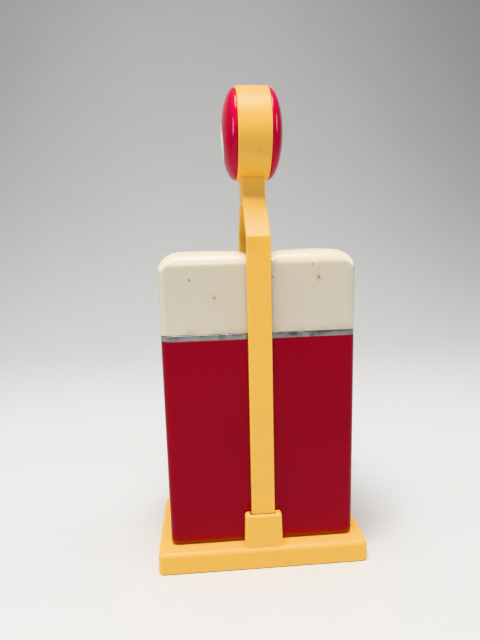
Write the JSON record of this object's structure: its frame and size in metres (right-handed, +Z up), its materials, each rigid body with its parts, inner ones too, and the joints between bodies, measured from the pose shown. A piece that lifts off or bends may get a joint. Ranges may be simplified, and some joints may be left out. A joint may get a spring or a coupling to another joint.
{
  "type": "table-top gas pump set",
  "caption": "Pump-shaped containers with lift-off caps, back to back on a tray, under a hoop that carries a round two-lens globe sign.",
  "frame": {"origin": "middle of the tray's underside, on the table", "axes": "+Z up; +X along the row of the two pumps, the way the right pump's dial and lens face; -Y towards the long side that shows a strap"},
  "size_m": [0.072, 0.038, 0.1602],
  "materials": {
    "yellow_plastic": "moulded, soft gloss, fine handling scratches",
    "screw_steel": "plain steel",
    "lens_red": "moulded, high gloss, plain pale roundel printed inside",
    "red_plastic": "moulded, gloss, slightly rippled",
    "bright_foil": "bright foil on a plastic ring",
    "cream_plastic": "moulded, gloss, a few brown specks",
    "dial_print": "printed film"
  },
  "bodies": {
    "stand": {"base_tray": "yellow_plastic", "hoop_frame": "yellow_plastic", "foot_screws": "screw_steel", "globe_ring": "yellow_plastic", "left_lens": "lens_red", "right_lens": "lens_red"},
    "left_pump": {"left_pump_body": "red_plastic", "left_bright_band": "bright_foil"},
    "left_cap": {"left_cap": "cream_plastic", "left_dial": "dial_print"},
    "right_pump": {"right_pump_body": "red_plastic", "right_bright_band": "bright_foil"},
    "right_cap": {"right_cap": "cream_plastic", "right_dial": "dial_print"}
  },
  "joints": [
    {"name": "left_pump_slide", "type": "slide", "parent": "stand", "child": "left_pump", "axis": [-1, 0, 0], "range_m": [0, 0.036]},
    {"name": "right_pump_slide", "type": "slide", "parent": "stand", "child": "right_pump", "axis": [1, 0, 0], "range_m": [0, 0.036]},
    {"name": "left_cap_lift", "type": "slide", "parent": "left_pump", "child": "left_cap", "axis": [0, 0, 1], "range_m": [0, 0.0043]},
    {"name": "right_cap_lift", "type": "slide", "parent": "right_pump", "child": "right_cap", "axis": [0, 0, 1], "range_m": [0, 0.0043]}
  ]
}
